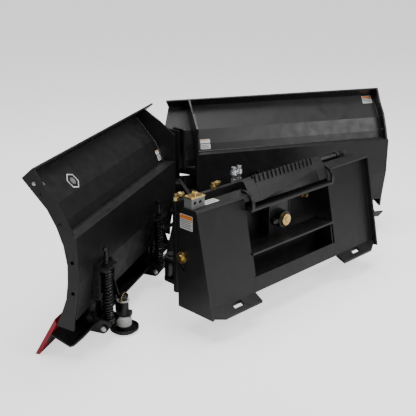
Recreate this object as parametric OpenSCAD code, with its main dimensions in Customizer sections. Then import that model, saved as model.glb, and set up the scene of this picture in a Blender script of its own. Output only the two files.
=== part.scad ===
// Hydraulic V-plow with trip cutting edges and a quick-attach mount.
// Axes: +X across the plow, +Y forward, +Z up. The ground is z = 0.
// A wing is drawn in its own axes: x along the wing, y rearward from its top edge, z up.

/* [Wings] */
// Length of a wing along its top edge
wing_length = 1228; // [1100:1:1320]
// Sweep of each wing in the vee position, in degrees
wing_sweep = 28; // [26:0.5:29]
// Thickness of the moldboard and brace sheets
sheet_t = 6; // [5:0.5:7]
// Thickness of the end ribs
rib_t = 10; // [8:0.5:12]
// Distance from the nose to the near face of the inner rib
inner_rib_at = 165; // [160:1:175]

/* [Trip edge] */
// Thickness of the cutting edge
edge_t = 16; // [12:0.5:16]
// Distance from the nose to the end of the cutting edge
edge_start = 102; // [100:1:120]
// Place of the inner trip spring along the wing
inner_spring_at = 480; // [470:1:500]
// Place of the outer trip spring along the wing
outer_spring_at = 1050; // [1040:1:1060]

/* [Mount] */
// Overall width of the quick-attach mount
mount_width = 1143; // [1120:1:1160]
// Width of each attachment pad
pad_width = 295; // [270:1:300]
// Distance the pads are set forward of the side plates' rear edges
pad_recess = 28; // [20:1:40]
// Height of the pads' bottom edge above the ground
pad_bottom = 125; // [120:1:135]
// Height of the mount's bottom edge above the ground
mount_bottom = 105; // [95:1:115]
// Thickness of the mount's plates
mount_t = 10; // [8:0.5:12]

/* [Skid shoes] */
// Radius of the round foot
foot_r = 60; // [50:1:60]
// Height of the collar's lower end, which the spacers fill
collar_bottom = 68; // [60:1:70]

/* [Hidden] */
$fn = 48;
black = "#3a3a3c";
gold = "#c9a84c";
zinc = "#c8ccd0";

// Running clearance of a pin in its hole, and the gap between welded pieces
run = 0.05;
gap = 0.2;
// The nose: where the two top edges' lines meet, ahead of the mount's rear bottom edge
nose_y = 973;
// The origin's place, midway between the mount's lips and the nose guard's front
origin_y = 491;
// Hinge axis of the wings
hinge_y = 921;
hinge_n = (nose_y - hinge_y) * cos(wing_sweep);
hinge_s = (nose_y - hinge_y) * sin(wing_sweep);
hinge_pin_r = 20;
knuckle_r = 36;
carrier_levels = [[196, 236], [316, 356], [436, 476]];
left_levels = [[237, 275], [357, 395]];
right_levels = [[277, 315], [397, 435]];
hinge_low = 190;
hinge_high = 486;
hinge_top_z = 490;
web_t = 20;
// Oscillation pivot
pivot_z = 355;
pivot_r = 27;
// Trip hinge axis, spring pin axis and spring, in wing axes
trip_n = 130;
trip_z = 120;
trip_pin_r = 10;
rod_n = 186;
rod_pin_z = 82;
rod_pin_r = 8;
rod_r = 7.5;
spring_low = 106.5;
spring_high = 321.5;
spring_r = 21;
springs_at = [inner_spring_at, outer_spring_at];
// Cutting edge: its tip, its lean from the vertical and its height
tip_n = -51;
edge_lean = 30;
edge_length = 190;
// Outline of the cutting edge's formed backing, in wing axes
edge_dir = [sin(edge_lean), cos(edge_lean)];
edge_rear = [tip_n + edge_t * cos(edge_lean) + gap, -edge_t * sin(edge_lean)];
backing = [
    [156, 108], [114, 66], [101, 60], edge_rear + edge_dir * 122, edge_rear + edge_dir * 76
];
// Mount: lean of the pads and the outline of the frame in the y-z plane
pad_lean = 11.9;
pad_y = pad_recess + (pad_bottom - mount_bottom) * tan(pad_lean);
pad_length = 413;
pad_top_y = 91;
top_z = 540;
top_front_y = 165;
side_front_y = 205;
half = mount_width / 2;
pad_inner = half - pad_width;
shelf_high_z = 478;
shelf_low_z = 290;
// Hydraulic cylinders
cyl_x = 532;
cyl_y = 280;
cyl_z = 240;
cyl_pin_r = 14;
cyl_r = 36;
cyl_bore_r = 28;
cyl_rod_r = 16;
cyl_s = 220;
cyl_n = 205;
cyl_barrel_end = 425;
cyl_rod_start = 150;
cyl_dx = cyl_x - (cyl_s * cos(wing_sweep) - cyl_n * sin(wing_sweep));
cyl_dy = nose_y - cyl_s * sin(wing_sweep) - cyl_n * cos(wing_sweep) - cyl_y;
cyl_length = norm([cyl_dx, cyl_dy]);
cyl_angle = atan2(cyl_dy, cyl_dx);
// Skid shoe
skid_s = 945;
skid_n = 205;
post_r = 15;
collar_r = 21;
collar_top = 134;
// Plow profile: the moldboard's front face, top to bottom, in y and z of the wing
face = [
    [-42.2, 710.2], [46, 605], [79, 540], [102, 470], [113, 395],
    [110, 325], [99, 255], [75, 190], [51.8, 140]
];
rib_back = [
    [124, 125], [128, 179], [157, 332], [157, 504], [145, 513], [127, 563],
    [92, 633], [45, 686], [0, 758], [-47, 717]
];
brace_line = [[103, 507], [157, 507], [157, 325], [130, 168]];
inner_rib_back = [
    [124, 125], [128, 179], [157, 332], [157, 638], [126, 663], [84, 699], [0, 758], [-47, 717]
];
rib_holes = [[29, 661], [95, 553], [134, 407], [129, 283]];
rib_hole_r = 7;

function unit(v) = v / norm(v);
function side_of(a, b) = let(d = unit(b - a)) [-d[1], d[0]];
function shifted_point(p, i, t) =
    let(
        last = len(p) - 1,
        a = side_of(p[max(i - 1, 0)], p[max(i, 1)]),
        b = side_of(p[min(i, last - 1)], p[min(i + 1, last)]),
        m = unit(a + b)
    )
    p[i] + m * t / (m * a);
// Outline of a bent sheet of thickness t along the line p
function ribbon(p, t) =
    concat(p, [for (i = [len(p) - 1:-1:0]) shifted_point(p, i, t)]);

module place() translate([0, -origin_y, 0]) children();
module on_left_wing() place() translate([0, nose_y, 0]) rotate([0, 0, 180 + wing_sweep]) children();
module on_right_wing() mirror([1, 0, 0]) on_left_wing() children();
// Extrudes a y-z outline along x from a to b
module along(a, b) translate([a, 0, 0]) rotate([90, 0, 90]) linear_extrude(b - a) children();
// Upright cylinder between two heights, and one along x
module post(x, y, r, low, high) translate([x, y, low]) cylinder(r = r, h = high - low);
module bar(y, z, r, a, b) translate([a, y, z]) rotate([0, 90, 0]) cylinder(r = r, h = b - a);
// Bar along y
module pin_y(x, z, r, a, b) translate([x, b, z]) rotate([90, 0, 0]) cylinder(r = r, h = b - a);
module block(a, b) translate(a) cube(b - a);
// Hexagon head across corners 2r
module hex_z(x, y, r, low, high) translate([x, y, low]) cylinder(r = r, h = high - low, $fn = 6);
module hex_x(y, z, r, a, b) translate([a, y, z]) rotate([0, 90, 0]) cylinder(r = r, h = b - a, $fn = 6);

// ---- Mount ----
// Pad set forward in its side plate, with the lock lip sloping down behind it
module pad_plate() {
    slot_x = 407;
    slot_half = 28;
    translate([0, pad_y, pad_bottom]) rotate([-pad_lean, 0, 0])
        block([-half + 5, 0, 0], [-pad_inner, mount_t, pad_length]);
    difference() {
        along(-half, -half + mount_t) polygon([
            [0, mount_bottom], [pad_top_y - 2, top_z - mount_t - 0.5],
            [top_front_y - 4, top_z - mount_t - 0.5], [side_front_y - 2, 506],
            [side_front_y - 6, mount_bottom]
        ]);
        bar(170, 329, 13 + run, -half - 1, -half + mount_t + 1);
        bar(166, 281, 10, -half - 1, -half + mount_t + 1);
    }
    difference() {
        along(-half + 4, -pad_inner - 10) polygon([
            [-9, 93], [-9, 103], [pad_y + 2, pad_bottom + 3],
            [pad_y + 9, pad_bottom + 3], [pad_y + 9, 114]
        ]);
        block([-slot_x - slot_half, 8, 60], [-slot_x + slot_half, 31, 160]);
        translate([-half + 4, -9, 60]) linear_extrude(100)
            polygon([[-1, -1], [64, -1], [-1, 30]]);
    }
}
module left_pad() color(black) place() pad_plate();
module right_pad() color(black) mirror([1, 0, 0]) place() pad_plate();
// Top of the frame, bent down at the front, with a flat hook reaching back over each pad
module top_plate() color(black) place() {
    along(-half, half) polygon(ribbon([
        [side_front_y + 6, 514], [top_front_y, top_z], [120, top_z]
    ], mount_t));
    for (edge = [-half, pad_inner])
        block([edge, pad_top_y, top_z - mount_t], [edge + pad_width, 120.2, top_z]);
}
// Curved straps from the top plate down to the shelf, beside the step
module hook_gussets() color(black) place() {
    bend_r = 42;
    bend_z = top_z + gap - bend_r;
    for (k = [-1, 1]) along(k * (pad_inner - 9) - 8, k * (pad_inner - 9) + 8)
        polygon(ribbon(concat(
            [[120 - bend_r, shelf_high_z + gap]],
            [for (a = [180:-10:90]) [120 + bend_r * cos(a), bend_z + bend_r * sin(a)]],
            [[134, top_z + gap]]
        ), mount_t));
}
module upper_shelf() color(black) place()
    block([-pad_inner + gap, 72, shelf_high_z - mount_t], [pad_inner - gap, 157.8, shelf_high_z]);
// Bottom beam: a channel with an upturned lip in the plane of the pads and closed ends
module lower_beam() color(black) place() {
    along(-pad_inner + gap, pad_inner - gap) polygon(ribbon([
        [58, shelf_low_z], [157.8, shelf_low_z], [157.8, pad_bottom], [pad_y, pad_bottom],
        [pad_y + 62 * tan(pad_lean), pad_bottom + 62]
    ], -mount_t));
    for (k = [-1, 1]) along(k * (pad_inner - 8) - 4, k * (pad_inner - 8) + 4)
        polygon([[40, 130], [152, 130], [152, 285], [70, 285], [50, 184]]);
}
module bearing_plate() color(black) place() difference() {
    block([-64, 158, 143], [64, 170, 524]);
    pin_y(0, pivot_z, pivot_r + run, 150, 180);
}
module pivot_boss() color(black) place() difference() {
    union() {
        pin_y(0, pivot_z, 38, 122, 158);
        block([-62, 126, pivot_z - 9], [-30, 146, pivot_z + 9]);
    }
    pin_y(0, pivot_z, pivot_r + run, 100, 180);
    bar(136, pivot_z, 6 + run, -90, -20);
}
module oscillation_pin() color(gold) place() difference() {
    pin_y(0, pivot_z, pivot_r, 112, 268);
    bar(136, pivot_z, 6 + run, -60, 60);
}
module retaining_bolt() color(black) place() {
    bar(136, pivot_z, 6, -70, 20);
    hex_x(136, pivot_z, 11, -70, -62.2);
}
// Step across the middle: two bent faces, end blocks and upright grip teeth
module step_tread() color(black) place() {
    end_x = 227;
    end_half = 31;
    teeth = 15;
    tooth_x = 185;
    base = top_z + gap;
    along(-end_x + end_half + gap, end_x - end_half - gap)
        polygon(ribbon([[152, base], [152, 590], [142, 590], [112, 545], [88, 498]], 5));
    for (k = [-1, 1]) along(k * end_x - end_half, k * end_x + end_half)
        polygon([[88, 498], [112, 545], [136, 581], [152, 581], [152, base], [118, base], [94, 498]]);
    for (i = [0:teeth - 1])
        multmatrix([
            [1, 0.5, 0, -69 - tooth_x + i * 2 * tooth_x / (teeth - 1)],
            [0, 1, 0, 0], [0, 0, 1, 0]
        ]) along(-2, 2)
            polygon([[126, 566], [142, 590], [151, 590], [144, 598], [137, 598], [120, 570]]);
}
module valve_block() color("#77777a") place() difference() {
    block([-566, 122, top_z + gap], [-496, 164, 580]);
    for (x = [-548, -520]) pin_y(x, 562, 8, 112, 140);
}
module valve_cover() color(gold) place() {
    block([-568, 120, 580 + gap], [-494, 168, 586]);
    for (x = [-558, -504]) for (y = [128, 160]) hex_z(x, y, 5, 586, 590);
    post(-531, 144, 8, 586, 594);
    hex_z(-531, 144, 11, 594, 602);
}
// Elbow fittings on the carrier's top edge and beside the valve
module fitting(x, y, z) {
    hex_z(x, y, 13, z, z + 14);
    post(x, y, 9, z + 14, z + 26);
    hex_x(y, z + 20, 11, x + 9, x + 24);
    bar(y, z + 20, 8, x + 24, x + 38);
}
module hydraulic_fittings() color(gold) place() {
    fitting(-551, 226, 550.2);
    fitting(-345, 226, 550.2);
    pin_y(215, 404, 14, 190, 214.8);
    pin_y(215, 404, 9, 170, 190);
}
// Two upright quick couplers
module quick_couplers() color(zinc) place() for (x = [-222, -190]) {
    hex_z(x, 226, 13, 550.2, 566);
    post(x, 226, 9.5, 566, 584);
    post(x, 226, 13, 584, 604);
    post(x, 226, 10, 604, 618);
}
module hose_rest() color(black) place() {
    for (x = [318, 424]) along(x, x + 12)
        polygon([[186, 528.6], [198, 521.8], [198, 540], [186, 540]]);
    bar(192, 545, 11, 300, 440.2);
    bar(192, 545, 17, 440, 466);
}
module left_stop_pin() color(gold) place() {
    bar(170, 329, 13, -half - 10, -half + 60);
    bar(170, 329, 24, -half - 10, -half - 0.3);
    hex_x(170, 329, 14, -half - 18, -half - 10);
}

// ---- Carrier ----
module carrier_plate() color(black) place() difference() {
    block([-565, 215, 155], [565, 235, 550]);
    pin_y(0, pivot_z, 42 + gap, 200, 250);
}
module carrier_hub() color(black) place() difference() {
    union() {
        pin_y(0, pivot_z, 42, 171, 262);
        pin_y(0, pivot_z, 50, 235.2, 243);
    }
    pin_y(0, pivot_z, pivot_r + run, 160, 280);
}
// Box beam from the carrier plate to the nose
module push_frame() color(black) place() difference() {
    block([-60, 235.2, 180], [60, 705, 300]);
    block([-50, 230, 190], [50, 695, 290]);
}
// Corner gussets above and below the box beam
module frame_gussets() color(black) place()
    for (k = [-1, 1]) for (z = [180, 288]) translate([0, 0, z]) linear_extrude(12)
        polygon([
            [k * 60.2, 235.2], [k * 60.2, 520], [k * 90, 520], [k * 230, 270], [k * 230, 235.2]
        ]);
// Upright web between the push frame and the hinge knuckles, with a sloping top
module nose_web() color(black) place() difference() {
    union() {
        translate([-web_t / 2, 0, 0]) along(0, web_t) polygon([
            [705.2, 184], [883, 196], [883, 458], [705.2, 300]
        ]);
        for (level = carrier_levels) {
            post(0, hinge_y, knuckle_r, level[0], level[1]);
            block([-web_t / 2, 876, level[0]], [web_t / 2, 896, level[1]]);
        }
    }
    post(0, hinge_y, hinge_pin_r + run, 100, 600);
}
module hinge_pin() color(zinc) place() {
    post(0, hinge_y, hinge_pin_r, hinge_low, hinge_high);
    post(0, hinge_y, 28, 182, hinge_low);
    hex_z(0, hinge_y, 26, hinge_high, hinge_top_z + 4);
}
// Curved shield ahead of the hinge, held off the carrier's knuckles
module nose_guard() color(black) place() {
    guard_half = 28;
    guard_r = 62;
    translate([0, hinge_y, 0]) {
        translate([0, 0, 60]) rotate([0, 0, 90 - guard_half])
            rotate_extrude(angle = 2 * guard_half) translate([guard_r, 0]) square([8, 520]);
        for (level = carrier_levels)
            block([-12, knuckle_r + gap, level[0] + 4], [12, guard_r + 2, level[1] - 4]);
    }
}
// Lugs and upright pins that hold the cylinders' base ends
module cylinder_brackets() color(black) place() for (k = [-1, 1]) {
    for (z = [186, 280]) difference() {
        union() {
            post(k * cyl_x, cyl_y, 32, z, z + 14);
            block([k * cyl_x - 32, 235.2, z], [k * cyl_x + 32, cyl_y, z + 14]);
        }
        post(k * cyl_x, cyl_y, cyl_pin_r + run, z - 1, z + 15);
    }
    post(k * cyl_x, cyl_y, cyl_pin_r, 182, 300);
    post(k * cyl_x, cyl_y, 20, 294 + gap, 302);
}

// ---- Wings ----
// Space on one wing's side of the centre plane, in the vee and in the scoop position
module wing_side(clear) {
    reach = 400;
    apex = hinge_s + clear / cos(wing_sweep);
    linear_extrude(900) polygon([
        [apex, hinge_n], [apex + reach * tan(wing_sweep), hinge_n + reach],
        [2000, hinge_n + reach], [2000, hinge_n - reach],
        [apex + reach * tan(wing_sweep), hinge_n - reach]
    ]);
}
module moldboard(levels) color(black) difference() {
    intersection() {
        along(0, wing_length - rib_t - gap) polygon(ribbon(face, sheet_t));
        union() {
            intersection() {
                wing_side(web_t / 2 + 4);
                block([0, -200, 0], [wing_length, 400, hinge_top_z + 6]);
            }
            intersection() {
                wing_side(3);
                block([0, -200, hinge_top_z + 6], [wing_length, 400, 900]);
            }
        }
    }
    for (level = levels)
        block([-10, -100, level[0] - 3], [inner_rib_at, 300, level[1] + 3]);
    block([-10, -100, 0], [edge_start, 300, hinge_low - 10]);
}
module top_lip() color(black) intersection() {
    along(0, wing_length - rib_t - gap) polygon(ribbon([[-47, 717], [0, 758]], -8));
    wing_side(3);
}
module rib_outline() polygon(concat(face, rib_back));
module outer_rib() color(black) difference() {
    along(wing_length - rib_t, wing_length) rib_outline();
    for (h = rib_holes) bar(h[0], h[1], rib_hole_r, wing_length - rib_t - 1, wing_length + 1);
}
// Rib behind the moldboard near the nose, and the plate that closes the wing's inner end
module hinge_rib(levels) color(black) difference() {
    union() {
        along(inner_rib_at, inner_rib_at + rib_t) polygon(concat(face, inner_rib_back));
        intersection() {
            along(0, inner_rib_at - gap) polygon(concat(face, inner_rib_back));
            block([0, hinge_n + 42, 196], [inner_rib_at, 157, 640]);
            difference() {
                wing_side(web_t / 2 + 4);
                wing_side(web_t / 2 + 12);
            }
        }
    }
    along(0, 400) polygon(ribbon(face, sheet_t + gap));
    along(0, 400) polygon(ribbon([[-60.5, 706.6], [11.3, 769.3]], -9.3));
    for (level = levels)
        block([0, -100, level[0] - 3], [inner_rib_at - gap, 300, level[1] + 3]);
}
// The two lugs that turn on the hinge pin
module hinge_ears(levels) color(black) difference() {
    for (level = levels) translate([0, 0, level[0]]) linear_extrude(level[1] - level[0]) {
        translate([hinge_s, hinge_n]) circle(r = knuckle_r);
        polygon([
            [hinge_s + 15, hinge_n - 34], [inner_rib_at - gap, 62],
            [inner_rib_at - gap, 148], [61, 51]
        ]);
    }
    post(hinge_s, hinge_n, hinge_pin_r + run, 100, 600);
}
// Box-section stiffener behind the moldboard: a ledge, an upright face and a sloping foot
module back_brace() color(black) difference() {
    along(inner_rib_at + rib_t + gap, wing_length - rib_t - gap) polygon(ribbon(brace_line, -sheet_t));
    along(0, wing_length) polygon(ribbon(face, sheet_t + gap));
}
module trip_brackets() color(black) for (s = springs_at) {
    along(s + 48, s + 56) polygon([[157.2, 352], [181, 352], [181, 205], [136.8, 205], [157.2, 324]]);
    along(s - 56, s - 48) polygon([[157.2, 345], [168, 345], [212, 185], [133.4, 185], [157.2, 324]]);
    difference() {
        block([s - 47.8, 157.2, 322], [s + 47.8, 210, 332]);
        post(s, rod_n, 17, 300, 350);
    }
    for (k = [-1, 1]) difference() {
        along(s + k * 28 - 5, s + k * 28 + 5) {
            translate([trip_n, trip_z]) circle(r = 18);
            polygon([[113, 126], [118, 150], [130.5, 170], [142, 235], [150, 235], [146, 160], [140, 135]]);
        }
        bar(trip_n, trip_z, trip_pin_r + run, s - 60, s + 60);
    }
    bar(trip_n, trip_z, trip_pin_r, s - 52, s + 52);
    for (k = [-1, 1]) hex_x(trip_n, trip_z, 16, s + k * 52 - 6, s + k * 52 + 6);
}
// Lug with the pin of the cylinder's rod, and the skid shoe's collar on its bracket
module wing_lugs() color(black) {
    for (z = [cyl_z - 42, cyl_z + 28]) difference() {
        union() {
            post(cyl_s, cyl_n, 28, z, z + 14);
            translate([0, 0, z]) linear_extrude(14)
                polygon([
                    [cyl_s - 28, cyl_n], [cyl_s - 34, 157.2],
                    [cyl_s + 34, 157.2], [cyl_s + 28, cyl_n]
                ]);
        }
        post(cyl_s, cyl_n, cyl_pin_r + run, z - 1, z + 15);
    }
    post(cyl_s, cyl_n, cyl_pin_r, cyl_z - 46, cyl_z + 46);
    post(cyl_s, cyl_n, 20, cyl_z + 42 + gap, cyl_z + 50);
    difference() {
        post(skid_s, skid_n, collar_r, collar_bottom, collar_top);
        post(skid_s, skid_n, post_r + run, 0, 200);
    }
    along(skid_s - 6, skid_s + 6) polygon([
        [skid_n - collar_r + 2, collar_bottom + 4], [174, collar_bottom + 4], [170, 90], [170, 156],
        [143, 240], [157.2, 324], [172, 300], [174, 134], [skid_n - collar_r + 2, collar_top - 8]
    ]);
    block([skid_s - 12, skid_n + collar_r - 2, 72], [skid_s + 12, skid_n + collar_r + 12, 92]);
}

// ---- Trip edge ----
module cutting_edge() color("#b02030") intersection() {
    along(edge_start, wing_length) polygon([
        [tip_n, 0], [tip_n + edge_t / cos(edge_lean), 0],
        [tip_n + edge_length * sin(edge_lean) - 7 + edge_t * cos(edge_lean),
            edge_length * cos(edge_lean) - 12 - edge_t * sin(edge_lean)],
        [tip_n + edge_length * sin(edge_lean), edge_length * cos(edge_lean)]
    ]);
    wing_side(3);
}
// Formed stiffener behind the cutting edge
module edge_backing() color(black) intersection() {
    along(edge_start, wing_length - 2) polygon(ribbon(backing, 7));
    wing_side(web_t / 2 + 4);
}
// Lever plates that hang on the trip hinge and carry the spring pins
module edge_levers() color(black) for (s = springs_at) {
    for (k = [-1, 1]) difference() {
        along(s + k * 40 - 5, s + k * 40 + 5) {
            translate([trip_n, trip_z]) circle(r = 18);
            polygon([
                [112, 118], [112, 76], [118, 60], [182, 56], [193, 63], [219, 98],
                [212, 108], [172, 116], [146, 128]
            ]);
        }
        along(0, wing_length) offset(delta = gap) polygon(ribbon(backing, 7));
        bar(trip_n, trip_z, trip_pin_r + run, s - 60, s + 60);
    }
    bar(rod_n, rod_pin_z, rod_pin_r, s - 49, s + 49);
    for (k = [-1, 1]) bar(rod_n, rod_pin_z, 13, s + k * 49 - 4, s + k * 49 + 4);
}
module trip_rods() color(black) for (s = springs_at) {
    difference() {
        bar(rod_n, rod_pin_z, 16, s - 15, s + 15);
        bar(rod_n, rod_pin_z, rod_pin_r + run, s - 20, s + 20);
    }
    post(s, rod_n, 23, 99, 106);
    post(s, rod_n, rod_r, 106, 412);
    post(s, rod_n, 20, 332.5, 336.5);
    hex_z(s, rod_n, 13, 336.5, 350);
    hex_z(s, rod_n, 13, 396, 408);
}
module trip_springs() color("#202022") for (s = springs_at) difference() {
    post(s, rod_n, spring_r, spring_low, spring_high);
    post(s, rod_n, spring_r - 8, spring_low - 1, spring_high + 1);
}

// ---- Hydraulic cylinders ----
module on_cylinder() place() translate([-cyl_x, cyl_y, cyl_z]) rotate([0, 0, cyl_angle]) children();
module cylinder_barrel() color(black) on_cylinder() {
    difference() {
        union() {
            bar(0, 0, cyl_r, 24, cyl_barrel_end);
            translate([0, 0, -30]) cylinder(r = 30, h = 60);
        }
        bar(0, 0, cyl_bore_r, 60, cyl_barrel_end + 1);
        translate([0, 0, -40]) cylinder(r = cyl_pin_r + run, h = 80);
    }
    for (x = [80, cyl_barrel_end - 40]) translate([x, 0, cyl_r - 2]) cylinder(r = 11, h = 14);
}
module cylinder_rod() color("#d8dadc") on_cylinder() difference() {
    union() {
        bar(0, 0, cyl_rod_r, cyl_rod_start, cyl_length - 24);
        translate([cyl_length, 0, -24]) cylinder(r = 27, h = 48);
    }
    translate([cyl_length, 0, -40]) cylinder(r = cyl_pin_r + run, h = 80);
}

// ---- Skid shoes ----
// Dished round foot on its post, with a cap and a cross hole for the ring pin
module skid_shoe() color(black) translate([skid_s, skid_n, 0]) difference() {
    rotate_extrude() polygon([
        [0, 0], [foot_r - 12, 0], [foot_r, 10], [foot_r, 20], [foot_r - 6, 20],
        [foot_r - 14, 12], [32, 12], [30, 26], [post_r, 26], [post_r, 150], [21, 150],
        [21, 160], [17, 164], [0, 164]
    ]);
    translate([0, 0, 145]) rotate([0, 90, 0]) cylinder(r = 4, h = 60, center = true);
}
// Spacer rings below the collar, and the washer and ring pin above it
module skid_spacers() color("#e6e6e4") translate([skid_s, skid_n, 0]) {
    for (i = [0:2]) translate([0, 0, 26 + gap + i * 13.9])
        rotate_extrude() polygon([
            [post_r + 0.3, 0], [30, 0], [31, 2], [31, 11], [30, 13.5], [post_r + 0.3, 13.5]
        ]);
    translate([0, 0, collar_top + 0.4]) rotate_extrude() polygon([
        [post_r + 0.3, 0], [26, 0], [26, 4], [post_r + 0.3, 4]
    ]);
}

left_pad();
right_pad();
top_plate();
hook_gussets();
upper_shelf();
lower_beam();
bearing_plate();
pivot_boss();
oscillation_pin();
retaining_bolt();
step_tread();
valve_block();
valve_cover();
hydraulic_fittings();
quick_couplers();
hose_rest();
left_stop_pin();
carrier_plate();
carrier_hub();
push_frame();
frame_gussets();
nose_web();
hinge_pin();
nose_guard();
cylinder_brackets();
on_left_wing() moldboard(left_levels);  // left_moldboard
on_left_wing() top_lip();  // left_top_lip
on_left_wing() outer_rib();  // left_outer_rib
on_left_wing() hinge_rib(left_levels);  // left_hinge_rib
on_left_wing() hinge_ears(left_levels);  // left_hinge_ears
on_left_wing() back_brace();  // left_back_brace
on_left_wing() trip_brackets();  // left_trip_brackets
on_left_wing() wing_lugs();  // left_wing_lugs
on_right_wing() moldboard(right_levels);  // right_moldboard
on_right_wing() top_lip();  // right_top_lip
on_right_wing() outer_rib();  // right_outer_rib
on_right_wing() hinge_rib(right_levels);  // right_hinge_rib
on_right_wing() hinge_ears(right_levels);  // right_hinge_ears
on_right_wing() back_brace();  // right_back_brace
on_right_wing() trip_brackets();  // right_trip_brackets
on_right_wing() wing_lugs();  // right_wing_lugs
on_left_wing() cutting_edge();  // left_cutting_edge
on_left_wing() edge_backing();  // left_edge_backing
on_left_wing() edge_levers();  // left_edge_levers
on_right_wing() cutting_edge();  // right_cutting_edge
on_right_wing() edge_backing();  // right_edge_backing
on_right_wing() edge_levers();  // right_edge_levers
on_left_wing() trip_rods();  // left_trip_rods
on_right_wing() trip_rods();  // right_trip_rods
on_left_wing() trip_springs();  // left_trip_springs
on_right_wing() trip_springs();  // right_trip_springs
cylinder_barrel();  // left_cylinder_barrel
mirror([1, 0, 0]) cylinder_barrel();  // right_cylinder_barrel
cylinder_rod();  // left_cylinder_rod
mirror([1, 0, 0]) cylinder_rod();  // right_cylinder_rod
on_left_wing() skid_shoe();  // left_skid_shoe
on_right_wing() skid_shoe();  // right_skid_shoe
on_left_wing() skid_spacers();  // left_skid_spacers
on_right_wing() skid_spacers();  // right_skid_spacers
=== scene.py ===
import math
import random

import bmesh
import bpy
from mathutils import Matrix, Vector


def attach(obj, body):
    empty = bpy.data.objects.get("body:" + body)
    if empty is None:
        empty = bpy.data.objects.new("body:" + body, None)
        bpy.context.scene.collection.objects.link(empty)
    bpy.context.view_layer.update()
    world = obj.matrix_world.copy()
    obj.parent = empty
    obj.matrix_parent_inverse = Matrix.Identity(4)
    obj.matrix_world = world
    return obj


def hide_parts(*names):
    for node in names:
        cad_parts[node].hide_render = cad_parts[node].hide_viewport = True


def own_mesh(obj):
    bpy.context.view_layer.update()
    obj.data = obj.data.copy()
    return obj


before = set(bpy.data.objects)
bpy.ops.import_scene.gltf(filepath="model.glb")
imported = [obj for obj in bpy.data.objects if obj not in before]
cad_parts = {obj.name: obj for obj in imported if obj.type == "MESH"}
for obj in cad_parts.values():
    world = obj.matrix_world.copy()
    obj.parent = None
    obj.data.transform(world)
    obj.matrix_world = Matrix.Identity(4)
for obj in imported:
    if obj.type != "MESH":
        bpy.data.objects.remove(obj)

random.seed(7)
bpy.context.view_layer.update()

# The plow's own lengths are in millimetres here, as in the CAD source.
MM = 0.001
SWEEP = math.radians(28)
TRIP_SPRINGS_AT = (480, 1050)
SPRING_N = 186
PIN_HEAD = [(11.5, 0), (11.5, 2.5), (9.5, 4.2), (4, 5.0), (0, 5.0)]
SKID_AT = (945, 205)
WING_FACE = [
    (-42.2, 710.2), (46, 605), (79, 540), (102, 470), (113, 395),
    (110, 325), (99, 255), (75, 190), (51.8, 140),
]


# ---- Axes and mesh building ----
class Axes:
    """Turns millimetres along three directions into a point of the frame, in metres."""

    def __init__(self, origin, x, y, z=(0, 0, 1)):
        self.origin = Vector(origin)
        self.x, self.y, self.z = Vector(x), Vector(y), Vector(z)

    def direction(self, d):
        return (self.x * d[0] + self.y * d[1] + self.z * d[2]).normalized()

    def point(self, p):
        return self.origin + (self.x * p[0] + self.y * p[1] + self.z * p[2]) * MM


PLOW = Axes((0, -0.491, 0), (1, 0, 0), (0, 1, 0))


def wing_axes(side):
    """x runs out along the wing, y is rearward and z is up."""
    sign = -1 if side == "left" else 1
    return Axes(
        (0, 0.482, 0),
        (sign * math.cos(SWEEP), -math.sin(SWEEP), 0),
        (-sign * math.sin(SWEEP), -math.cos(SWEEP), 0),
    )


WING = {"left": wing_axes("left"), "right": wing_axes("right")}


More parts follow.
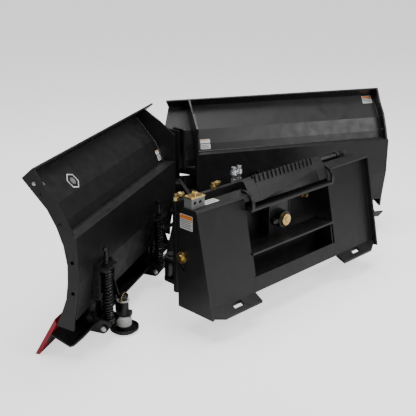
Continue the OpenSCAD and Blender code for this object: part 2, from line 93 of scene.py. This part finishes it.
class Part:
    """One visual piece: shapes are added to it, then done() puts it on its body."""

    def __init__(self, name):
        self.name = name
        self.bm = bmesh.new()

    def _ring(self, centre, u, v, radius, sides, phase=0.0):
        if radius < 1e-9:
            return [self.bm.verts.new(centre)]
        turn = 2 * math.pi / sides
        return [
            self.bm.verts.new(
                centre + (u * math.cos(i * turn + phase) + v * math.sin(i * turn + phase)) * radius
            )
            for i in range(sides)
        ]

    def _join(self, a, b):
        if len(a) == 1 and len(b) == 1:
            return
        sides = max(len(a), len(b))
        for i in range(sides):
            j = (i + 1) % sides
            corners = [a[i % len(a)], a[j % len(a)], b[j % len(b)], b[i % len(b)]]
            self.bm.faces.new(list(dict.fromkeys(corners)))

    def turned(self, axes, centre, along, profile, sides=24, closed=False, phase=0.0):
        """A profile of (radius, height) turned about an axis."""
        a = axes.direction(along)
        u = a.orthogonal().normalized()
        v = a.cross(u)
        base = axes.point(centre)
        rings = [
            self._ring(base + a * h * MM, u, v, r * MM, sides, phase) for r, h in profile
        ]
        for first, second in zip(rings, rings[1:]):
            self._join(first, second)
        if closed:
            self._join(rings[-1], rings[0])

    def swept(self, points, radius, sides=10, closed=False, ripple=0.0):
        """A round section carried along a line of points."""
        count = len(points)
        u = None
        rings = []
        for i, p in enumerate(points):
            before = points[i - 1] if i or closed else p
            after = points[(i + 1) % count] if i < count - 1 or closed else p
            t = (after - before).normalized()
            u = t.orthogonal() if u is None else u - t * u.dot(t)
            u.normalize()
            swell = 1 + ripple * (abs(math.sin(i * 1.35)) - 0.5)
            rings.append(self._ring(p, u, t.cross(u), radius * MM * swell, sides))
        for first, second in zip(rings, rings[1:]):
            self._join(first, second)
        if closed:
            self._join(rings[-1], rings[0])
        else:
            self.bm.faces.new(rings[0])
            self.bm.faces.new(rings[-1])

    def prism(self, axes, corners, depth):
        """A flat outline given as points, thickened by a vector."""
        low = [self.bm.verts.new(axes.point(c)) for c in corners]
        high = [
            self.bm.verts.new(axes.point([c[k] + depth[k] for k in range(3)])) for c in corners
        ]
        self.bm.faces.new(low)
        self.bm.faces.new(high)
        for i in range(len(low)):
            j = (i + 1) % len(low)
            self.bm.faces.new([low[i], low[j], high[j], high[i]])

    def done(self, body, material, slot=None, bevel=0.0, replaces=()):
        bmesh.ops.recalc_face_normals(self.bm, faces=self.bm.faces)
        for face in self.bm.faces:
            face.smooth = True
        for edge in self.bm.edges:
            if len(edge.link_faces) == 2 and edge.calc_face_angle(0) > 0.6:
                edge.smooth = False
        mesh = bpy.data.meshes.new(self.name)
        self.bm.to_mesh(mesh)
        self.bm.free()
        obj = bpy.data.objects.new(self.name, mesh)
        bpy.context.scene.collection.objects.link(obj)
        mesh.materials.append(material)
        if bevel:
            soften(obj, bevel)
        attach(obj, body)
        if replaces:
            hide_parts(*replaces)
        return obj


def soften(obj, width):
    """Rounds the sharp edges of a piece a little, as cut and painted plate has them."""
    weld = obj.modifiers.new("weld", "WELD")
    weld.merge_threshold = 1e-5
    bevel = obj.modifiers.new("bevel", "BEVEL")
    bevel.width = width * MM
    bevel.segments = 2
    bevel.limit_method = "ANGLE"
    bevel.angle_limit = math.radians(32)
    bevel.harden_normals = True


# ---- Materials ----
class Shader:
    """A node material with its principled shader and short ways to add nodes."""

    def __init__(self, name):
        self.material = bpy.data.materials.new(name)
        self.material.use_nodes = True
        self.tree = self.material.node_tree
        self.bsdf = next(n for n in self.tree.nodes if n.type == "BSDF_PRINCIPLED")
        self.coords = self.add("ShaderNodeTexCoord").outputs["Object"]

    def add(self, kind, **values):
        node = self.tree.nodes.new(kind)
        for key, value in values.items():
            setattr(node, key, value)
        return node

    def link(self, output, target):
        self.tree.links.new(output, target)

    def noise(self, scale, detail=4.0, rough=0.55, stretch=None):
        node = self.add("ShaderNodeTexNoise")
        node.inputs["Scale"].default_value = scale
        node.inputs["Detail"].default_value = detail
        node.inputs["Roughness"].default_value = rough
        source = self.coords
        if stretch:
            mapping = self.add("ShaderNodeMapping")
            mapping.inputs["Scale"].default_value = stretch
            self.link(source, mapping.inputs["Vector"])
            source = mapping.outputs["Vector"]
        self.link(source, node.inputs["Vector"])
        return node.outputs["Fac"]

    def ramp(self, value, stops):
        node = self.add("ShaderNodeValToRGB")
        marks = node.color_ramp.elements
        while len(marks) < len(stops):
            marks.new(0.5)
        for mark, (place, color) in zip(marks, stops):
            mark.position = place
            mark.color = (*color, 1)
        self.link(value, node.inputs["Fac"])
        return node.outputs["Color"]

    def mix(self, factor, a, b):
        node = self.add("ShaderNodeMix", data_type="RGBA")
        self.link(factor, node.inputs["Factor"])
        self.link(a, node.inputs["A"])
        if isinstance(b, tuple):
            node.inputs["B"].default_value = (*b, 1)
        else:
            self.link(b, node.inputs["B"])
        return node.outputs["Result"]

    def between(self, value, low, high, to_low, to_high):
        node = self.add("ShaderNodeMapRange")
        for key, number in (
            ("From Min", low), ("From Max", high), ("To Min", to_low), ("To Max", to_high)
        ):
            node.inputs[key].default_value = number
        self.link(value, node.inputs["Value"])
        return node.outputs["Result"]

    def times(self, a, b):
        node = self.add("ShaderNodeMath", operation="MULTIPLY")
        self.link(a, node.inputs[0])
        if isinstance(b, float):
            node.inputs[1].default_value = b
        else:
            self.link(b, node.inputs[1])
        return node.outputs[0]

    def edges(self, width):
        """1 on outer edges and 0 on flat faces."""
        bevel = self.add("ShaderNodeBevel", samples=4)
        bevel.inputs["Radius"].default_value = width * MM
        flat = self.add("ShaderNodeNewGeometry")
        dot = self.add("ShaderNodeVectorMath", operation="DOT_PRODUCT")
        self.link(bevel.outputs["Normal"], dot.inputs[0])
        self.link(flat.outputs["Normal"], dot.inputs[1])
        return self.between(dot.outputs["Value"], 0.98, 0.86, 0.0, 1.0)

    def upward(self):
        flat = self.add("ShaderNodeNewGeometry")
        parts = self.add("ShaderNodeSeparateXYZ")
        self.link(flat.outputs["Normal"], parts.inputs["Vector"])
        return self.between(parts.outputs["Z"], 0.35, 1.0, 0.0, 1.0)

    def bump(self, height, strength, distance):
        node = self.add("ShaderNodeBump")
        node.inputs["Strength"].default_value = strength
        node.inputs["Distance"].default_value = distance * MM
        self.link(height, node.inputs["Height"])
        self.link(node.outputs["Normal"], self.bsdf.inputs["Normal"])

    def set(self, **values):
        for key, value in values.items():
            self.bsdf.inputs[key.replace("_", " ")].default_value = value


def painted(name, dark, light, edge, rough, dust=0.10, peel=0.10):
    """Powder coat: orange peel, slow colour drift, thin dust on top, and outer edges painted lighter as a
    painted highlight with a little wear.
    """
    s = Shader(name)
    color = s.ramp(s.noise(7, 6), [(0.2, dark), (0.85, light)])
    settled = s.times(s.times(s.upward(), s.between(s.noise(28, 5), 0.42, 0.7, 0.2, 1.0)), dust)
    color = s.mix(settled, color, (0.30, 0.29, 0.27))
    # Painted highlight: outer edges are mixed toward the lighter edge colour, in patches, with a little
    # wear.
    edge_highlight_and_wear = s.times(s.edges(1.6), s.between(s.noise(60, 5), 0.35, 0.65, 0.25, 0.9))
    color = s.mix(edge_highlight_and_wear, color, edge)
    s.link(color, s.bsdf.inputs["Base Color"])
    s.link(s.between(s.noise(22, 5), 0.3, 0.7, rough - 0.07, rough + 0.09), s.bsdf.inputs["Roughness"])
    s.bump(s.noise(520, 2), peel, 0.5)
    return s.material


def plated(name, tones, rough, grain=240.0, metallic=1.0):
    """Plated steel: cloudy colour, fine turning marks and a softly uneven gloss."""
    s = Shader(name)
    color = s.ramp(s.noise(45, 5), [(0.3, tones[0]), (0.5, tones[1]), (0.7, tones[2])])
    s.link(color, s.bsdf.inputs["Base Color"])
    s.link(s.between(s.noise(90, 4), 0.3, 0.7, rough - 0.08, rough + 0.12), s.bsdf.inputs["Roughness"])
    s.bump(s.noise(grain, 3, stretch=(1, 1, 6)), 0.12, 0.4)
    s.set(Metallic=metallic)
    return s.material


COAT_DARK = (0.0060, 0.0060, 0.0066)
COAT_LIGHT = (0.0085, 0.0085, 0.0092)
GLOSS_DARK = (0.0040, 0.0040, 0.0044)
GLOSS_LIGHT = (0.0065, 0.0065, 0.0070)
# The fourth colour of each painted() material is its edge colour, a painted highlight laid along outer
# edges.
BLACK = painted("powder_coat", COAT_DARK, COAT_LIGHT, (0.035, 0.035, 0.037), 0.40, 0.035)
GLOSS = painted("gloss_black", GLOSS_DARK, GLOSS_LIGHT, (0.03, 0.03, 0.03), 0.24, 0.02)
WELD = painted("painted_weld", COAT_DARK, COAT_LIGHT, (0.02, 0.02, 0.02), 0.36, 0.02)
RED = painted("red_paint", (0.36, 0.010, 0.028), (0.47, 0.016, 0.040), (0.62, 0.16, 0.14), 0.38, 0.05)
GREY = painted("valve_grey", (0.16, 0.16, 0.165), (0.24, 0.24, 0.245), (0.42, 0.42, 0.42), 0.40, 0.05)
WHITE = painted("white_nylon", (0.60, 0.60, 0.58), (0.72, 0.72, 0.70), (0.80, 0.80, 0.78), 0.46, 0.06)
LABEL = painted("label_white", (0.66, 0.66, 0.64), (0.74, 0.74, 0.73), (0.70, 0.70, 0.70), 0.34, 0.0)
ORANGE = painted("label_orange", (0.70, 0.20, 0.03), (0.78, 0.25, 0.04), (0.8, 0.4, 0.1), 0.34, 0.0)
INK = painted("label_grey", (0.16, 0.16, 0.17), (0.22, 0.22, 0.23), (0.2, 0.2, 0.2), 0.34, 0.0)
ZINC = plated("clear_zinc", ((0.50, 0.52, 0.55), (0.66, 0.67, 0.69), (0.74, 0.74, 0.73)), 0.32)
GOLD = plated("yellow_zinc", ((0.58, 0.40, 0.13), (0.72, 0.52, 0.20), (0.66, 0.50, 0.30)), 0.30)
CHROME = plated("hard_chrome", ((0.70, 0.71, 0.73), (0.76, 0.77, 0.79), (0.80, 0.80, 0.81)), 0.12, 500.0)

# ---- The CAD nodes keep their shape and get their finish ----
FINISH = {
    "cutting_edge": RED, "edge_levers": GLOSS, "trip_brackets": GLOSS, "trip_rods": GLOSS,
    "trip_springs": GLOSS, "cylinder_barrel": GLOSS, "cylinder_rod": CHROME,
    "skid_spacers": WHITE, "skid_shoe": GLOSS, "oscillation_pin": GOLD, "retaining_bolt": GLOSS,
    "valve_block": GREY, "valve_cover": GOLD, "hydraulic_fittings": GOLD, "quick_couplers": ZINC,
    "left_stop_pin": GOLD, "hinge_pin": ZINC,
}
PLATES = ("pad", "plate", "shelf", "beam", "rib", "brace", "lip", "edge", "levers", "step", "web", "guard")
for name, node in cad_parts.items():
    kind = name.removeprefix("left_").removeprefix("right_")
    finish = FINISH.get(name) or FINISH.get(kind, BLACK)
    node.data.materials.clear()
    node.data.materials.append(finish)
    if kind not in ("moldboard", "trip_springs"):
        soften(node, 1.4 if any(word in kind for word in PLATES) else 0.7)


# ---- Small parts used all over ----
def hex_bolt(part, axes, centre, along, size=11.0, washer=True):
    """A hexagon head with a chamfer, on a washer."""
    rise = 0.0
    if washer:
        rim = size * 1.35
        part.turned(axes, centre, along, [(0, 0), (rim, 0), (rim, 1.8), (size * 1.25, 2.2), (0, 2.2)], 28)
        rise = 2.2
    shoulder = rise + size * 0.52
    top = rise + size * 0.62
    head = [(size, rise), (size, shoulder), (size * 0.86, top), (0, top)]
    part.turned(axes, centre, along, head, 6)


def weld(part, axes, path, radius=3.0):
    """A rippled bead along a line of corners."""
    points = []
    corners = [axes.point(p) for p in path]
    for a, b in zip(corners, corners[1:]):
        steps = max(2, round((b - a).length / (4.5 * MM)))
        points += [a.lerp(b, i / steps) for i in range(steps)]
    points.append(corners[-1])
    part.swept(points, radius, 7, ripple=0.35)


def label(name, axes, corner, across, down, width, height, out, body, header=True, bars=3):
    """A plain sticker: a white card, a coloured header and grey bars, with no lettering."""
    across, down, out = Vector(across), Vector(down), Vector(out)
    origin = Vector(corner)

    def card(kind, x0, y0, x1, y1, lift, material):
        part = Part(f"{name}_{kind}")
        r = min(2.5, (x1 - x0) / 3, (y1 - y0) / 3)
        outline = [
            (x0 + r, y0), (x1 - r, y0), (x1, y0 + r), (x1, y1 - r),
            (x1 - r, y1), (x0 + r, y1), (x0, y1 - r), (x0, y0 + r),
        ]
        part.prism(axes, [origin + across * x + down * y + out * lift for x, y in outline], out * 0.3)
        part.done(body, material)

    card("card", 0, 0, width, height, 0.3, LABEL)
    top = height * 0.3 if header else height * 0.1
    if header:
        card("header", 2, 2, width - 2, top, 0.6, ORANGE)
    step = (height - top - 4) / max(bars, 1)
    for i in range(bars):
        y = top + 3 + i * step
        card(f"bar{i}", 4, y, width - 4 - 6 * (i % 2), y + step * 0.45, 0.6, INK)


# ---- Wings ----
for side, axes in WING.items():
    body = f"{side}_wing"
    edge_body = f"{side}_trip_edge"

    # Coil springs with closed ends, in place of the plain tubes
    coils = Part(f"{side}_coil_springs")
    low, high, wire, radius, turns = 106.5, 321.5, 4.1, 16.9, 17
    for s in TRIP_SPRINGS_AT:
        points = []
        count = turns * 22
        for i in range(count + 1):
            t = i / count
            rise = t - 0.022 * math.sin(2 * math.pi * t)
            angle = t * turns * 2 * math.pi
            points.append(axes.point((
                s + radius * math.cos(angle), SPRING_N + radius * math.sin(angle),
                low + wire + (high - low - 2 * wire) * rise,
            )))
        coils.swept(points, wire, 9)
    coils = coils.done(body, GLOSS, "spring_black", replaces=[f"{side}_trip_springs"])
    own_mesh(coils)

    beads = Part(f"{side}_wing_welds")
    for s in (1217, 176):
        weld(beads, axes, [(s, n + 7.5, z) for n, z in WING_FACE], 3.2)
    weld(beads, axes, [(178, 106, 508.5), (1216, 106, 508.5)], 3.0)
    for s in TRIP_SPRINGS_AT:
        weld(beads, axes, [(s + 47, 158, 350), (s + 47, 158, 330), (s + 47, 137.5, 207)], 2.6)
        weld(beads, axes, [(s - 47, 158, 344), (s - 47, 158, 330), (s - 47, 135, 190)], 2.6)
        weld(beads, axes, [(s - 46, 158, 333), (s + 46, 158, 333)], 2.4)
        for k in (-1, 1):
            weld(beads, axes, [(s + k * 28 + 6, 131, 172), (s + k * 28 + 6, 141, 232)], 2.4)
    weld(beads, axes, [(SKID_AT[0] + 7, 143, 240), (SKID_AT[0] + 7, 157.5, 322)], 2.6)
    weld(beads, axes, [(SKID_AT[0] - 7, 143, 240), (SKID_AT[0] - 7, 157.5, 322)], 2.6)
    for z in (197.5, 282.5):
        weld(beads, axes, [(188, 158, z), (252, 158, z)], 2.6)
    beads.done(body, WELD, "black_paint")

    bolts = Part(f"{side}_wing_bolts")
    hex_bolt(bolts, axes, (1228, 2, 700), (1, 0, 0), 5.5)
    bolts.done(body, ZINC, "zinc", 0.25)

    ends = Part(f"{side}_lever_pin_heads")
    for s in TRIP_SPRINGS_AT:
        for k in (-1, 1):
            ends.turned(axes, (s + k * 53, SPRING_N, 82), (k, 0, 0), PIN_HEAD, 28)
    ends.done(edge_body, ZINC, "zinc")

    nuts = Part(f"{side}_edge_bolts")
    lean = Vector((0, math.sin(math.radians(30)), math.cos(math.radians(30))))
    out = Vector((0, math.cos(math.radians(30)), -math.sin(math.radians(30))))
    face = Vector((0, -51, 0))
    for i in range(6):
        s = 190 + i * 190
        front = face + lean * 100 + Vector((s, 0, 0))
        nuts.turned(axes, front, -out, [(0, 2.6), (6, 2.3), (10.5, 0.6), (11, -0.2)], 26)
    nuts.done(edge_body, ZINC, "zinc")

    seams = Part(f"{side}_edge_welds")
    for s in TRIP_SPRINGS_AT:
        for k in (-1, 1):
            weld(seams, axes, [(s + k * 46, 112, 66), (s + k * 46, 117, 69), (s + k * 46, 150, 103)], 2.4)
    seams.done(edge_body, WELD, "black_paint")

    rods = Part(f"{side}_rod_threads")
    for s in TRIP_SPRINGS_AT:
        profile = [(7.55, 352)]
        z = 352.0
        while z < 394:
            profile += [(8.3, z + 1.0), (7.55, z + 2.0)]
            z += 2.0
        rods.turned(axes, (s, SPRING_N, 0), (0, 0, 1), profile, 20)
    rods.done(f"{side}_trip_rod_set", GLOSS, "spring_black")

    # The ring pin through the skid's post
    ring = Part(f"{side}_skid_ring_pin")
    s, n = SKID_AT
    loop = []
    for i in range(40):
        a = i * math.tau / 40
        across, up = math.cos(a), math.sin(a)
        loop.append(axes.point((s + 4 + 18 * across, n + 2 + 4 * up, 157 + 15 * up)))
    ring.swept(loop, 1.9, 9, closed=True)
    ring_pin = [(0, 0), (3.2, 1), (3.6, 2), (3.6, 48), (6, 48), (6, 56), (0, 57)]
    ring.turned(axes, (s - 26, n, 145), (1, 0, 0), ring_pin, 20)
    ring.done(f"{side}_skid", GOLD, "yellow_zinc")

# ---- Stickers, with no lettering ----
SHEET = {
    "high": ((-42.2, 710.2), (46, 605)),
    "middle": ((46, 605), (79, 540)),
    "low": ((79, 540), (102, 470)),
}


def sheet_face(segment):
    """The start of a flat of the moldboard's rear face, its way down and its way out."""
    (n0, z0), (n1, z1) = SHEET[segment]
    length = math.hypot(n1 - n0, z1 - z0)
    down = Vector((0, (n1 - n0) / length, (z1 - z0) / length))
    out = Vector((0, -down.z, down.y))
    return Vector((0, n0, z0)) + out * 6.0, down, out


def sticker(name, side, s, width, drop, height, segment, header, bars):
    start, down, out = sheet_face(segment)
    corner = start + Vector((s, 0, 0)) + down * drop
    label(name, WING[side], corner, (1, 0, 0), down, width, height, out, f"{side}_wing", header, bars)


sticker("left_inner_sticker_top", "left", 186, 38, 51, 20, "middle", True, 0)
sticker("left_inner_sticker_foot", "left", 186, 38, 1, 26, "low", False, 3)
sticker("left_outer_sticker", "left", 1146, 10, 9, 48, "high", True, 0)
sticker("right_inner_sticker_top", "right", 205, 52, 51, 20, "middle", True, 0)
sticker("right_inner_sticker_foot", "right", 205, 52, 1, 26, "low", False, 3)
sticker("right_outer_sticker", "right", 1148, 56, 8, 44, "high", True, 3)
label("side_sticker", PLOW, (-571.5, 183, 514), (0, -1, 0), (0, 0, -1), 72, 61, (-1, 0, 0), "mount", True, 5)
label("top_sticker", PLOW, (-488, 162, 540), (1, 0, 0), (0, -1, 0), 78, 38, (0, 0, 1), "mount", False, 2)

start, down, out = sheet_face("high")
centre = start + Vector((978, 0, 0)) + down * 99
for name, radius, lift, material in (
    ("badge_rim", 36, 0.3, LABEL), ("badge_field", 30, 0.6, BLACK), ("badge_middle", 16, 0.9, INK),
):
    badge = Part(name)
    badge.turned(WING["left"], centre + out * lift, out, [(0, 0), (radius, 0), (radius, 0.3), (0, 0.3)], 6)
    badge.done("left_wing", material)

# ---- Mount ----
marks = Part("mount_welds")
for k in (-1, 1):
    weld(marks, PLOW, [(k * 560.5, 31.5, 132), (k * 560.5, 114, 522)], 2.4)
    weld(marks, PLOW, [(k * 65.5, 157, 295), (k * 65.5, 157, 466)], 2.6)
circle = [(39 * math.cos(a), 157, 355 + 39 * math.sin(a)) for a in [i * math.tau / 48 for i in range(49)]]
weld(marks, PLOW, circle, 2.8)
marks.done("mount", WELD, "black_paint")

pin = Part("pivot_pin_face")
pin.turned(PLOW, (0, 112, 355), (0, -1, 0), [(27, 0), (25.5, 1.6), (12, 1.6), (10, 0.6), (0, 0.6)], 48)
pin.done("mount", GOLD, "yellow_zinc")

# ---- Carrier ----
seam = Part("carrier_welds")
for k in (-1, 1):
    weld(seam, PLOW, [(k * 11, 706, 205), (k * 11, 706, 299)], 2.6)
    weld(seam, PLOW, [(k * 61, 237, 300), (k * 61, 237, 182)], 2.6)
seam.done("carrier", WELD, "black_paint")

sleeves = Part("coupler_sleeves")
for x in (-222, -190):
    rows = [(13.2, 585)]
    for i in range(6):
        rows += [(14.3, 586.2 + i * 2.8), (13.2, 587.6 + i * 2.8)]
    rows += [(12.4, 604.5), (11, 605)]
    sleeves.turned(PLOW, (x, 226, 0), (0, 0, 1), rows, 40)
    mouth = [(10.2, 612), (11, 613), (11, 618), (7, 618.6), (6, 612), (0, 612)]
    sleeves.turned(PLOW, (x, 226, 0), (0, 0, 1), mouth, 32)
sleeves.done("carrier", ZINC, "zinc")

nipples = Part("hinge_grease_nipples")
for z in (216, 336, 456):
    nipple = [(5, -2), (5, 3), (3, 4), (3, 8), (2.2, 9.5), (0, 10)]
    nipples.turned(PLOW, (31, 939, z), (0.87, 0.5, 0), nipple, 16)
nipples.done("carrier", ZINC, "zinc")

# ---- Stage ----
floor_mesh = bpy.data.meshes.new("floor")
floor_mesh.from_pydata([(-30, -30, 0), (30, -30, 0), (30, 30, 0), (-30, 30, 0)], [], [(0, 1, 2, 3)])
floor = bpy.data.objects.new("floor", floor_mesh)
bpy.context.scene.collection.objects.link(floor)
ground = Shader("floor_paper")
paper = ground.ramp(ground.noise(1.5, 3), [(0.3, (0.86, 0.86, 0.86)), (0.7, (0.88, 0.88, 0.88))])
ground.link(paper, ground.bsdf.inputs["Base Color"])
ground.set(Roughness=0.9, Emission_Color=(1.0, 1.0, 1.0, 1))
glow = ground.times(ground.add("ShaderNodeLightPath").outputs["Is Camera Ray"], 1.1)
ground.link(glow, ground.bsdf.inputs["Emission Strength"])
floor_mesh.materials.append(ground.material)

world = bpy.data.worlds.new("studio")
world.use_nodes = True
sky = world.node_tree
backdrop = sky.nodes["Background"]
backdrop.inputs["Color"].default_value = (1.0, 1.0, 1.0, 1)
backdrop.inputs["Strength"].default_value = 4.0
ambient = sky.nodes.new("ShaderNodeBackground")
ambient.inputs["Strength"].default_value = 0.16
ambient.inputs["Color"].default_value = (1.0, 1.0, 1.0, 1)
seen = sky.nodes.new("ShaderNodeLightPath")
blend = sky.nodes.new("ShaderNodeMixShader")
sky.links.new(seen.outputs["Is Camera Ray"], blend.inputs["Fac"])
sky.links.new(ambient.outputs["Background"], blend.inputs[1])
sky.links.new(backdrop.outputs["Background"], blend.inputs[2])
sky.links.new(blend.outputs["Shader"], sky.nodes["World Output"].inputs["Surface"])
bpy.context.scene.world = world


def softbox(name, place, target, size, power):
    light = bpy.data.lights.new(name, "AREA")
    light.shape = "RECTANGLE"
    light.size, light.size_y = size
    light.energy = power
    obj = bpy.data.objects.new(name, light)
    obj.location = place
    obj.rotation_mode = "QUATERNION"
    obj.rotation_quaternion = (Vector(target) - Vector(place)).to_track_quat("-Z", "Y")
    bpy.context.scene.collection.objects.link(obj)


softbox("key", (1.2, -3.4, 2.6), (0, 0, 0.3), (2.6, 2.0), 85)
softbox("fill", (-3.2, -1.4, 2.0), (0, 0, 0.3), (2.4, 2.4), 8)
softbox("top", (0, 0.2, 4.2), (0, 0, 0), (4.0, 3.0), 210)

camera = bpy.data.cameras.new("camera")
camera.lens = 67.3
camera.sensor_width = 36
eye = bpy.data.objects.new("camera", camera)
azimuth, elevation = math.radians(-44.7), math.radians(19.5)
back = Vector((
    math.sin(azimuth) * math.cos(elevation), -math.cos(azimuth) * math.cos(elevation), math.sin(elevation)
))
eye.location = (-2.5044, -2.4170, 1.5461)
eye.rotation_mode = "QUATERNION"
eye.rotation_quaternion = (-back).to_track_quat("-Z", "Y")
bpy.context.scene.collection.objects.link(eye)
bpy.context.scene.camera = eye
